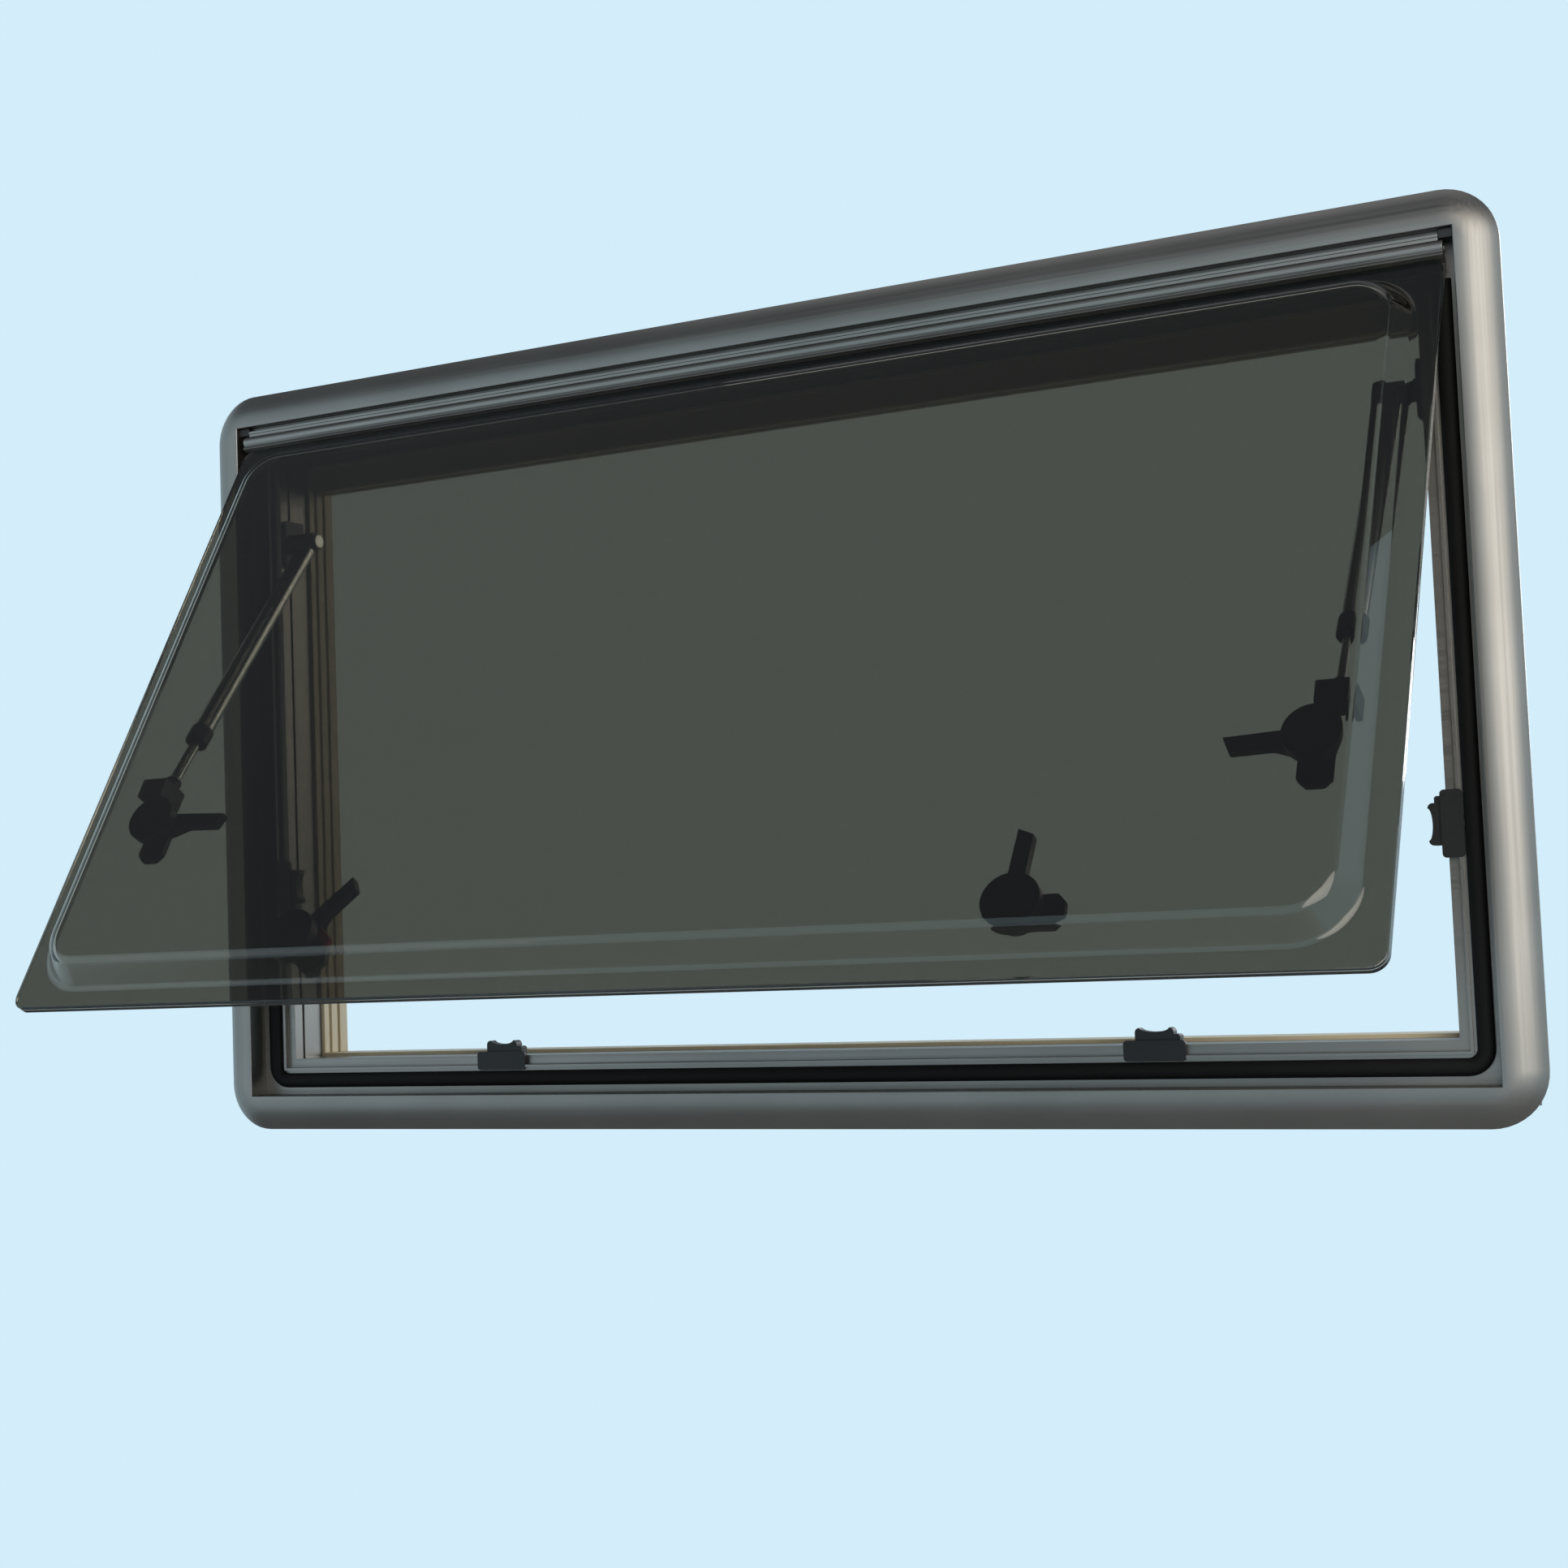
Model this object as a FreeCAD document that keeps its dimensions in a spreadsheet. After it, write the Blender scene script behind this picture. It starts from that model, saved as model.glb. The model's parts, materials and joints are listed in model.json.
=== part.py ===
import FreeCAD, Part
import math
import os
import Sketcher

# Top-hung cassette window for a caravan wall, shown open on its two telescopic stays.
# X runs to the right seen from outside, Y runs into the vehicle, Z is up.
# The origin lies on the flange face that seats on the wall, at the middle of the bottom flange.

doc = FreeCAD.newDocument("cassette_window")
sheet = doc.addObject("Spreadsheet::Sheet", "Sizes")

SIZES = {
    # outer frame
    "opening_width": 900, "opening_height": 500, "flange_width": 25, "flange_depth": 12,
    "flange_radius": 34, "flange_land": 2, "crown_width": 3, "profile_overrun": 5,
    "return_wall": 1.6, "ledge_depth": 18, "ledge_width": 19.5, "ledge_plate": 2,
    "lip_wall": 2, "lip_rise": 1.5, "step_plate": 2, "reveal_inset": 26, "reveal_wall": 2,
    "reveal_depth": 8.5, "edge_round": 0.8,
    # seal on the ledge
    "seal_inset": 5, "seal_width": 10.5, "seal_gap": 0.3, "seal_radius": 6, "seal_round": 2.2,
    # inner frame and cassette
    "joint_gap": 2.5, "inner_reveal": 20.5, "wall_thickness": 32, "clamp_cover": 14,
    "clamp_plate": 2, "tongue_wall": 2, "cassette_inset": 28.5, "cassette_depth": 28,
    "guide_cover": 10, "head_cover": 24, "cassette_round": 5, "slot_width": 3, "slot_deep": 10,
    "slot_front": 6, "slot_pitch": 10, "bar_height": 18, "bar_width": 7, "bar_gap": 0.5,
    "bar_round": 2,
    # hinge
    "axis_depth": 4.5, "axis_drop": 11, "open_angle": 31.3, "bead_radius": 2.2, "bead_gap": 0.4,
    "socket_wall": 1.8, "web_wall": 1.6, "channel_lip_rise": 6.2, "channel_lip_wall": 2,
    "channel_lip_front": 1.3, "channel_lip_back": 6, "channel_head_front": 3,
    "channel_head_back": 8, "plug_length": 9, "plug_gap": 0.6, "rail_front": 1.3,
    "rail_drop": 7, "rail_top": 2, "rail_back": 1.5, "rail_back_drop": 14, "mouth_out": 7,
    "mouth_in": 3, "mouth_rise": 5, "groove_width": 1.2, "groove_deep": 0.6, "groove_drop": 2.2,
    # panes
    "side_gap": 6, "bottom_gap": 5.2, "pane_thick": 3, "inner_pane_thick": 3, "rim_depth": 7,
    "pane_top_drop": 5, "rim_radius": 10, "bulge_height": 16, "bulge_draft": 12,
    "bulge_side": 14, "bulge_bottom": 13, "bulge_top": 12, "bulge_radius": 36,
    "bulge_round": 7,
    # latches and keepers
    "latch_inset": 56, "latch_stay_gap": 1, "latch_bottom_inset": 210, "boss_radius": 17,
    "boss_height": 8, "boss_round": 1.5, "hub_radius": 12, "hub_gap": 0.3, "hub_height": 8.7,
    "latch_pin_radius": 4, "latch_pin_gap": 0.3, "latch_pin_proud": 0.6, "lever_length": 52,
    "lever_root": 10, "lever_heel": 11, "lever_tip": 7, "lever_edge": 2.5, "lever_kink": 24, "lever_waist": 1.5,
    "lever_slant": 4, "lever_thick": 6, "cam_length": 27, "cam_half": 10, "cam_thick": 4,
    "cam_gap": 0.6, "part_turn": 37, "keeper_length": 40, "keeper_base": 30, "keeper_tip": 34,
    "keeper_tongue": 26, "keeper_plate": 2, "keeper_hook": 5, "keeper_gap": 0.2,
    "keeper_hollow": 3, "keeper_round": 3,
    # stays
    "stay_inset": 47, "stay_frame_drop": 90, "stay_frame_depth": 28, "stay_sash_drop": 312,
    "stay_sash_depth": 20, "eye_half": 6, "eye_radius": 7, "eye_bore_gap": 0.3,
    "rivet_radius": 3, "rivet_head": 5, "rivet_head_thick": 2, "bracket_plate": 3.5,
    "bracket_height": 36, "bracket_width": 22, "bracket_front": 0.8, "bracket_round": 4,
    "boss_gap": 0.5, "tube_radius": 6.5, "tube_wall": 0.6, "tube_start": 9, "tube_end": 195,
    "collar_radius": 7.8, "collar_length": 13, "rod_radius": 3.7, "rod_length": 150,
    "ferrule_radius": 5.5, "ferrule_length": 16, "rod_eye_radius": 6.5, "foot_half_length": 7,
    "foot_plate": 2.5, "foot_ear": 3.5, "foot_pin_radius": 2.5, "foot_gap": 0.5,
}

for row, (alias, number) in enumerate(SIZES.items(), start=1):
    sheet.set(f"A{row}", alias)
    sheet.set(f"B{row}", str(number))
    sheet.setAlias(f"B{row}", alias)
doc.recompute()


class Size:
    # A length that knows its number now and the sheet expression that keeps it current.
    def __init__(self, number, text):
        self.number = number
        self.text = text

    def __add__(self, other):
        other = as_size(other)
        return Size(self.number + other.number, f"({self.text} + {other.text})")

    def __sub__(self, other):
        other = as_size(other)
        return Size(self.number - other.number, f"({self.text} - {other.text})")

    def __mul__(self, factor):
        return Size(self.number * factor, f"({self.text} * {factor})")

    def __truediv__(self, divisor):
        return Size(self.number / divisor, f"({self.text} / {divisor})")

    def __neg__(self):
        return Size(-self.number, f"(0 - {self.text})")


def as_size(value):
    return value if isinstance(value, Size) else Size(float(value), repr(float(value)))


def size(alias):
    return Size(float(sheet.get(alias)), f"Sizes.{alias}")


ZERO = as_size(0)

# Places that several pieces share, all from the sheet.
half_width = size("opening_width") / 2
sill_z = size("flange_width") / 2
lintel_z = sill_z + size("opening_height")
front_y = -size("flange_depth")
ledge_y = front_y + size("ledge_depth")
step_y = ledge_y + size("ledge_plate")
reveal_end_y = step_y + size("reveal_depth")
clamp_y = size("wall_thickness")
inner_y = reveal_end_y + size("joint_gap")
cassette_y = inner_y + size("inner_reveal")
back_y = cassette_y + size("cassette_depth")
axis_y = front_y + size("axis_depth")
axis_z = lintel_z - size("axis_drop")
rim_y = front_y + size("rim_depth")
inner_pane_y = rim_y + size("pane_thick")
pane_back_y = inner_pane_y + size("inner_pane_thick")
sash_half = half_width - size("side_gap")
sash_bottom = sill_z + size("bottom_gap")
sash_top = axis_z - size("pane_top_drop")
boss_back_y = pane_back_y + size("boss_height")
hub_y = boss_back_y + size("hub_gap")
keeper_front_y = step_y - size("keeper_plate")
keeper_back_y = step_y + size("keeper_hook")
cam_y = keeper_back_y + size("cam_gap")
stay_x = half_width - size("stay_inset")
stay_frame_y = front_y + size("stay_frame_depth")
stay_frame_z = lintel_z - size("stay_frame_drop")
stay_sash_y = rim_y + size("stay_sash_depth")
stay_sash_z = axis_z - size("stay_sash_drop")


def vector(x, y, z):
    return FreeCAD.Vector(x, y, z)


def new_body(label):
    body = doc.addObject("PartDesign::Body", label)
    body.Label = label
    return body


def new_sketch(body, name, role, offset=ZERO):
    # The XZ plane faces outward, so its offset along the normal is the negative depth.
    sketch = body.newObject("Sketcher::SketchObject", f"{body.Name}_{name}")
    plane = [item for item in body.Origin.OriginFeatures if item.Role == role][0]
    sketch.AttachmentSupport = [(plane, "")]
    sketch.MapMode = "FlatFace"
    sketch.AttachmentOffset = FreeCAD.Placement(vector(0, 0, offset.number), FreeCAD.Rotation())
    sketch.setExpression("AttachmentOffset.Base.z", offset.text)
    return sketch


def front_sketch(body, name, depth):
    return new_sketch(body, name, "XZ_Plane", -depth)


def pin_point(sketch, geometry, point, x, y):
    for kind, length in (("DistanceX", x), ("DistanceY", y)):
        constraint = Sketcher.Constraint(kind, -1, 1, geometry, point, length.number)
        index = sketch.addConstraint(constraint)
        sketch.setExpression(f"Constraints[{index}]", length.text)


def set_radius(sketch, geometry, radius):
    index = sketch.addConstraint(Sketcher.Constraint("Radius", geometry, radius.number))
    sketch.setExpression(f"Constraints[{index}]", radius.text)


def draw_polygon(sketch, corners):
    first = sketch.GeometryCount
    count = len(corners)
    for index, (x, y) in enumerate(corners):
        next_x, next_y = corners[(index + 1) % count]
        start = vector(x.number, y.number, 0)
        end = vector(next_x.number, next_y.number, 0)
        sketch.addGeometry(Part.LineSegment(start, end))
    for index in range(count):
        after = first + (index + 1) % count
        sketch.addConstraint(Sketcher.Constraint("Coincident", first + index, 2, after, 1))
    for index, (x, y) in enumerate(corners):
        pin_point(sketch, first + index, 1, x, y)


def draw_box(sketch, left, right, bottom, top):
    draw_polygon(sketch, [(left, bottom), (right, bottom), (right, top), (left, top)])


def draw_circle(sketch, x, y, radius):
    circle = Part.Circle(vector(x.number, y.number, 0), vector(0, 0, 1), radius.number)
    geometry = sketch.addGeometry(circle)
    pin_point(sketch, geometry, 3, x, y)
    set_radius(sketch, geometry, radius)


def draw_rounded_box(sketch, left, right, bottom, top, radius):
    first = sketch.GeometryCount
    turns = [(right - radius, bottom + radius, -90), (right - radius, top - radius, 0),
             (left + radius, top - radius, 90), (left + radius, bottom + radius, 180)]
    for x, y, start in turns:
        circle = Part.Circle(vector(x.number, y.number, 0), vector(0, 0, 1), radius.number)
        begin = math.radians(start)
        sketch.addGeometry(Part.ArcOfCircle(circle, begin, begin + math.pi / 2))
    ends = [sketch.Geometry[first + index] for index in range(4)]
    for index in range(4):
        line = Part.LineSegment(ends[index].EndPoint, ends[(index + 1) % 4].StartPoint)
        sketch.addGeometry(line)
    for index in range(4):
        line = first + 4 + index
        after = first + (index + 1) % 4
        sketch.addConstraint(Sketcher.Constraint("Tangent", first + index, 2, line, 1))
        sketch.addConstraint(Sketcher.Constraint("Tangent", line, 2, after, 1))
    for index, (x, y, start) in enumerate(turns):
        pin_point(sketch, first + index, 3, x, y)
        set_radius(sketch, first + index, radius)


def pad(body, sketch, length, inward=True, both_ways=False):
    feature = body.newObject("PartDesign::Pad", f"{sketch.Name}_pad")
    feature.Profile = sketch
    feature.setExpression("Length", length.text)
    feature.Reversed = inward
    feature.Midplane = both_ways
    return feature


def pocket(body, sketch, length, reverse=False, both_ways=False):
    # A pocket runs against its sketch's normal, which is inward from the XZ plane.
    doc.recompute()
    before = body.Shape.Volume
    feature = body.newObject("PartDesign::Pocket", f"{sketch.Name}_pocket")
    feature.Profile = sketch
    feature.setExpression("Length", length.text)
    feature.Reversed = reverse
    feature.Midplane = both_ways
    doc.recompute()
    if body.Shape.Volume >= before:
        raise RuntimeError(f"{sketch.Name} cuts nothing")
    return feature


def fillet(body, radius, chosen):
    doc.recompute()
    base = body.Tip
    edges = [f"Edge{index + 1}" for index, edge in enumerate(base.Shape.Edges) if chosen(edge)]
    feature = body.newObject("PartDesign::Fillet", f"{body.Name}_round_{len(body.Group)}")
    feature.Base = (base, edges)
    feature.setExpression("Radius", radius.text)
    doc.recompute()
    return feature


def edge_lies_at(edge, axis, place):
    # True when the whole edge lies in the plane across the axis (0 X, 1 Y, 2 Z) at that place.
    box = edge.BoundBox
    low = (box.XMin, box.YMin, box.ZMin)[axis]
    high = (box.XMax, box.YMax, box.ZMax)[axis]
    return abs(low - place.number) < 0.01 and abs(high - place.number) < 0.01


def draw_inset_box(sketch, inset):
    draw_box(sketch, inset - half_width, half_width - inset, sill_z + inset, lintel_z - inset)


def pad_ring(body, name, outer, inner, start, end):
    # A square-cornered ring between two insets from the frame's inner edge.
    sketch = front_sketch(body, name, start)
    draw_inset_box(sketch, outer)
    draw_inset_box(sketch, inner)
    return pad(body, sketch, end - start)


def make_outer_frame():
    # Domed flange swept round the wall opening, then the stepped channel behind it.
    body = new_body("outer_frame")
    flange = size("flange_width")
    spine = front_sketch(body, "spine", ZERO)
    draw_rounded_box(spine, -half_width - flange, half_width + flange, sill_z - flange,
                     lintel_z + flange, size("flange_radius"))
    section = new_sketch(body, "section", "YZ_Plane")
    outer_z = sill_z - flange
    crown_z = sill_z - size("crown_width")
    inner_z = sill_z + size("profile_overrun")
    land_y = -size("flange_land")
    rise = (land_y - front_y).number
    run = (crown_z - outer_z).number
    radius = (rise * rise + run * run) / (2 * rise)
    centre = vector(front_y.number + radius, crown_z.number, 0)
    begin = math.atan2(outer_z.number - centre.y, land_y.number - centre.x)
    circle = Part.Circle(centre, vector(0, 0, 1), radius)
    dome = Part.ArcOfCircle(circle, math.pi, begin + 2 * math.pi)
    corners = [(front_y, crown_z), (front_y, inner_z), (ZERO, inner_z), (ZERO, outer_z),
               (land_y, outer_z)]
    for (x, y), (next_x, next_y) in zip(corners, corners[1:]):
        start = vector(x.number, y.number, 0)
        section.addGeometry(Part.LineSegment(start, vector(next_x.number, next_y.number, 0)))
    arc = section.addGeometry(dome)
    for index in range(3):
        section.addConstraint(Sketcher.Constraint("Coincident", index, 2, index + 1, 1))
    section.addConstraint(Sketcher.Constraint("Coincident", 3, 2, arc, 2))
    section.addConstraint(Sketcher.Constraint("Tangent", arc, 1, 0, 1))
    for index, (x, y) in enumerate(corners[:-1]):
        pin_point(section, index, 1, x, y)
    pin_point(section, 3, 2, *corners[-1])
    sweep = body.newObject("PartDesign::AdditivePipe", "outer_frame_dome")
    sweep.Profile = section
    sweep.Spine = (spine, [f"Edge{index}" for index in range(1, 9)])
    doc.recompute()
    opening = front_sketch(body, "opening", front_y)
    draw_inset_box(opening, ZERO)
    pocket(body, opening, size("flange_depth"))
    fillet(body, size("edge_round"), lambda edge: edge_lies_at(edge, 1, front_y))
    pad_ring(body, "return", -size("return_wall"), ZERO, ZERO, step_y)
    ledge = size("ledge_width")
    lip = ledge - size("lip_wall")
    pad_ring(body, "ledge", -size("return_wall"), ledge, ledge_y, step_y)
    pad_ring(body, "lip", lip, ledge, ledge_y - size("lip_rise"), step_y)
    reveal = size("reveal_inset")
    pad_ring(body, "step", lip, reveal, step_y, step_y + size("step_plate"))
    pad_ring(body, "reveal", reveal - size("reveal_wall"), reveal, step_y, reveal_end_y)
    return body


def make_frame_seal():
    # Bulb seal on the ledge, up both sides to the hinge rail.
    body = new_body("frame_seal")
    outer = size("seal_inset")
    inner = outer + size("seal_width")
    front = pane_back_y + size("seal_gap")
    sketch = front_sketch(body, "run", front)
    top = axis_z - size("rail_back_drop") - size("rail_top")
    left_out = outer - half_width
    left_in = inner - half_width
    low_out = sill_z + outer
    low_in = sill_z + inner
    draw_polygon(sketch, [(left_out, low_out), (-left_out, low_out), (-left_out, top),
                          (-left_in, top), (-left_in, low_in), (left_in, low_in),
                          (left_in, top), (left_out, top)])
    pad(body, sketch, ledge_y - front)
    fillet(body, size("seal_radius"), lambda edge: edge_lies_at(edge, 2, low_in)
           and edge.BoundBox.XLength < 0.01)
    fillet(body, size("seal_radius") + size("seal_width"), lambda edge: edge_lies_at(edge, 2, low_out)
           and edge.BoundBox.XLength < 0.01)
    fillet(body, size("seal_round"), lambda edge: edge_lies_at(edge, 1, front))
    return body


def make_inner_frame():
    # Clamp frame screwed up from inside, with its flange on the inner wall face.
    body = new_body("inner_frame")
    reveal = size("reveal_inset")
    wall_out = reveal - size("reveal_wall")
    pad_ring(body, "tongue", wall_out - size("tongue_wall"), wall_out,
             step_y + size("step_plate"), clamp_y + size("clamp_plate"))
    pad_ring(body, "flange", -size("clamp_cover"), wall_out, clamp_y,
             clamp_y + size("clamp_plate"))
    pad_ring(body, "reveal", wall_out, reveal, inner_y, cassette_y)
    return body


def cassette_section(outer, direction):
    # Section across one side: depth and distance from the frame's inner edge.
    step = size("reveal_inset") - size("reveal_wall")
    front = clamp_y + size("clamp_plate")
    inset = size("cassette_inset")
    points = [(front, -outer), (back_y, -outer), (back_y, inset), (cassette_y, inset),
              (cassette_y, step), (front, step)]
    return [(depth, way * direction) for depth, way in points]


def make_guide(label, side):
    # Upright with two slots in which the blind and the screen run.
    body = new_body(label)
    bottom = sill_z + size("cassette_inset")
    top = lintel_z - size("cassette_inset")
    sketch = new_sketch(body, "section", "XY_Plane", bottom)
    section = cassette_section(size("guide_cover"), 1)
    draw_polygon(sketch, [((half_width - way) * side, depth) for depth, way in section])
    pad(body, sketch, top - bottom, inward=False)
    face = (half_width - size("cassette_inset")) * side
    deep = face + size("slot_deep") * side
    slots = new_sketch(body, "slots", "XY_Plane", bottom)
    for index in range(2):
        start = cassette_y + size("slot_front") + size("slot_pitch") * index
        draw_polygon(slots, [(face, start), (deep, start), (deep, start + size("slot_width")),
                             (face, start + size("slot_width"))])
    pocket(body, slots, top - bottom, reverse=True)
    outer_x = (half_width + size("guide_cover")) * side
    fillet(body, size("cassette_round"),
           lambda edge: edge_lies_at(edge, 0, outer_x) and edge_lies_at(edge, 1, back_y))
    return body


def make_cross_box(label, cover, edge_z, direction):
    # Head or sill box across the full width of the cassette.
    body = new_body(label)
    sketch = new_sketch(body, "section", "YZ_Plane")
    section = cassette_section(size(cover), direction)
    draw_polygon(sketch, [(depth, edge_z + way) for depth, way in section])
    length = (half_width + size("guide_cover")) * 2
    pad(body, sketch, length, inward=False, both_ways=True)
    outer_z = edge_z - size(cover) * direction
    fillet(body, size("cassette_round"),
           lambda edge: edge_lies_at(edge, 2, outer_z) and edge_lies_at(edge, 1, back_y))
    return body


def make_pull_bar(label, index):
    # Pull bar parked against the head box, on the middle of its own slot.
    body = new_body(label)
    middle = cassette_y + size("slot_front") + size("slot_pitch") * index + size("slot_width") / 2
    top = lintel_z - size("cassette_inset")
    sketch = new_sketch(body, "section", "YZ_Plane")
    draw_box(sketch, middle - size("bar_width") / 2, middle + size("bar_width") / 2,
             top - size("bar_height"), top)
    length = (half_width - size("cassette_inset") - size("bar_gap")) * 2
    pad(body, sketch, length, inward=False, both_ways=True)
    low = top - size("bar_height")
    fillet(body, size("bar_round"), lambda edge: edge_lies_at(edge, 2, low)
           and edge.BoundBox.XLength > length.number / 2)
    return body


def make_hinge_channel():
    # Fixed half of the hinge: a bead on a web under the frame's top return.
    body = new_body("hinge_channel")
    length = (half_width - size("plug_length")) * 2
    web = size("web_wall") / 2
    lip_low = axis_z + size("channel_lip_rise")
    lip_high = lip_low + size("channel_lip_wall")
    lip_front = axis_y - size("channel_lip_front")
    lip_back = axis_y + size("channel_lip_back")
    head_front = axis_y + size("channel_head_front")
    head_back = axis_y + size("channel_head_back")
    bead = new_sketch(body, "bead", "YZ_Plane")
    draw_circle(bead, axis_y, axis_z, size("bead_radius"))
    pad(body, bead, length, inward=False, both_ways=True)
    hanger = new_sketch(body, "hanger", "YZ_Plane")
    draw_polygon(hanger, [(axis_y - web, axis_z), (axis_y + web, axis_z),
                          (axis_y + web, lip_low), (lip_back, lip_low), (head_back, lip_high),
                          (head_back, lintel_z), (head_front, lintel_z),
                          (head_front, lip_high), (lip_front, lip_high), (lip_front, lip_low),
                          (axis_y - web, lip_low)])
    pad(body, hanger, length, inward=False, both_ways=True)
    return body


def make_hinge_plug(label, side):
    # End plug that closes the hinge gap at the frame's corner.
    body = new_body(label)
    inner = (half_width - size("plug_length")) * side
    sketch = new_sketch(body, "section", "YZ_Plane", inner)
    low = axis_z + size("bead_radius") + size("bead_gap") + size("socket_wall")
    draw_box(sketch, axis_y - size("channel_lip_front"), axis_y + size("channel_head_back"),
             low + size("plug_gap"), lintel_z)
    pad(body, sketch, size("plug_length"), inward=side < 0)
    return body


def place_on_sash(body):
    # Swings a piece drawn on the closed sash out to the open position.
    centre = vector(0, axis_y.number, axis_z.number)
    swing = FreeCAD.Rotation(vector(-1, 0, 0), float(sheet.get("open_angle")))
    body.Placement = FreeCAD.Placement(centre - swing.multVec(centre), swing)
    return body


def make_hinge_rail():
    # Moving half of the hinge: a socket round the bead above a clip for the pane's top edge.
    body = new_body("hinge_rail")
    length = sash_half * 2
    socket = size("bead_radius") + size("bead_gap") + size("socket_wall")
    front = axis_y - size("rail_front")
    low = axis_z - size("rail_drop")
    bridge = sash_top + size("rail_top")
    back = pane_back_y + size("rail_back")
    clip = new_sketch(body, "clip", "YZ_Plane")
    draw_polygon(clip, [(front, low), (rim_y, low), (rim_y, sash_top), (pane_back_y, sash_top),
                        (pane_back_y, axis_z - size("rail_back_drop")),
                        (back, axis_z - size("rail_back_drop")), (back, bridge),
                        (rim_y, bridge), (rim_y, axis_z), (front, axis_z)])
    pad(body, clip, length, inward=False, both_ways=True)
    ring = new_sketch(body, "socket", "YZ_Plane")
    draw_circle(ring, axis_y, axis_z, socket)
    pad(body, ring, length, inward=False, both_ways=True)
    bore = new_sketch(body, "bore", "YZ_Plane")
    draw_circle(bore, axis_y, axis_z, size("bead_radius") + size("bead_gap"))
    pocket(body, bore, length, both_ways=True)
    mouth = new_sketch(body, "mouth", "YZ_Plane")
    draw_polygon(mouth, [(axis_y, axis_z), (axis_y - size("mouth_out"), axis_z + size("mouth_rise")),
                         (axis_y + size("mouth_in"), axis_z + size("mouth_rise"))])
    pocket(body, mouth, length, both_ways=True)
    groove = new_sketch(body, "groove", "YZ_Plane")
    groove_top = axis_z - size("groove_drop")
    draw_box(groove, front, front + size("groove_deep"), groove_top - size("groove_width"),
             groove_top)
    pocket(body, groove, length, both_ways=True)
    return place_on_sash(body)


def draw_bulge(sketch, side, bottom, top, radius, shrink):
    draw_rounded_box(sketch, side + shrink - sash_half, sash_half - side - shrink,
                     sash_bottom + bottom + shrink, sash_top - top - shrink, radius - shrink)


def make_outer_pane():
    # Formed pane: a flat rim with the field blown outward.
    body = new_body("outer_pane")
    side, bottom, top = size("bulge_side"), size("bulge_bottom"), size("bulge_top")
    radius, draft, thick = size("bulge_radius"), size("bulge_draft"), size("pane_thick")
    rim = front_sketch(body, "rim", rim_y)
    draw_rounded_box(rim, -sash_half, sash_half, sash_bottom, sash_top, size("rim_radius"))
    pad(body, rim, thick)
    crest_y = rim_y - size("bulge_height")
    foot = front_sketch(body, "foot", rim_y)
    draw_bulge(foot, side, bottom, top, radius, ZERO)
    crest = front_sketch(body, "crest", crest_y)
    draw_bulge(crest, side, bottom, top, radius, draft)
    dome = body.newObject("PartDesign::AdditiveLoft", "outer_pane_dome")
    dome.Profile = foot
    dome.Sections = [crest]
    dome.Ruled = True
    fillet(body, size("bulge_round"), lambda edge: edge_lies_at(edge, 1, crest_y))
    mouth = front_sketch(body, "mouth", inner_pane_y)
    draw_bulge(mouth, side, bottom, top, radius, thick)
    roof = front_sketch(body, "roof", crest_y + thick)
    draw_bulge(roof, side, bottom, top, radius, draft + thick)
    hollow = body.newObject("PartDesign::SubtractiveLoft", "outer_pane_hollow")
    hollow.Profile = mouth
    hollow.Sections = [roof]
    hollow.Ruled = True
    doc.recompute()
    return place_on_sash(body)


def make_inner_pane():
    # Flat pane bonded to the rim, the face that meets the seal.
    body = new_body("inner_pane")
    sketch = front_sketch(body, "sheet", inner_pane_y)
    draw_rounded_box(sketch, -sash_half, sash_half, sash_bottom, sash_top, size("rim_radius"))
    pad(body, sketch, size("inner_pane_thick"))
    return place_on_sash(body)


# Each latch: name, place on the sash, lever turn from upright, and hand of the cam.
# A side latch sits just under the stay's foot on the same edge.
side_x = half_width - size("latch_inset")
side_z = stay_sash_z - size("foot_half_length") - size("boss_radius") - size("latch_stay_gap")
low_x = half_width - size("latch_bottom_inset")
low_z = sill_z + size("latch_inset")
LATCHES = (
    ("bottom_left", -low_x, low_z, float(sheet.get("part_turn")), 1),
    ("bottom_right", low_x, low_z, 0, 1),
    ("left", -side_x, side_z, 90, 1),
    ("right", side_x, side_z, -90, -1),
)


def make_latch_base(name, x, z):
    # Round boss bonded to the inner pane, with the pin that carries the lever.
    body = new_body(f"latch_base_{name}")
    boss = front_sketch(body, "boss", pane_back_y)
    draw_circle(boss, x, z, size("boss_radius"))
    pad(body, boss, size("boss_height"))
    fillet(body, size("boss_round"), lambda edge: edge_lies_at(edge, 1, boss_back_y))
    pin = front_sketch(body, "pin", boss_back_y)
    draw_circle(pin, x, z, size("latch_pin_radius"))
    pad(body, pin, size("hub_gap") + size("hub_height") + size("latch_pin_proud"))
    return place_on_sash(body)


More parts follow.
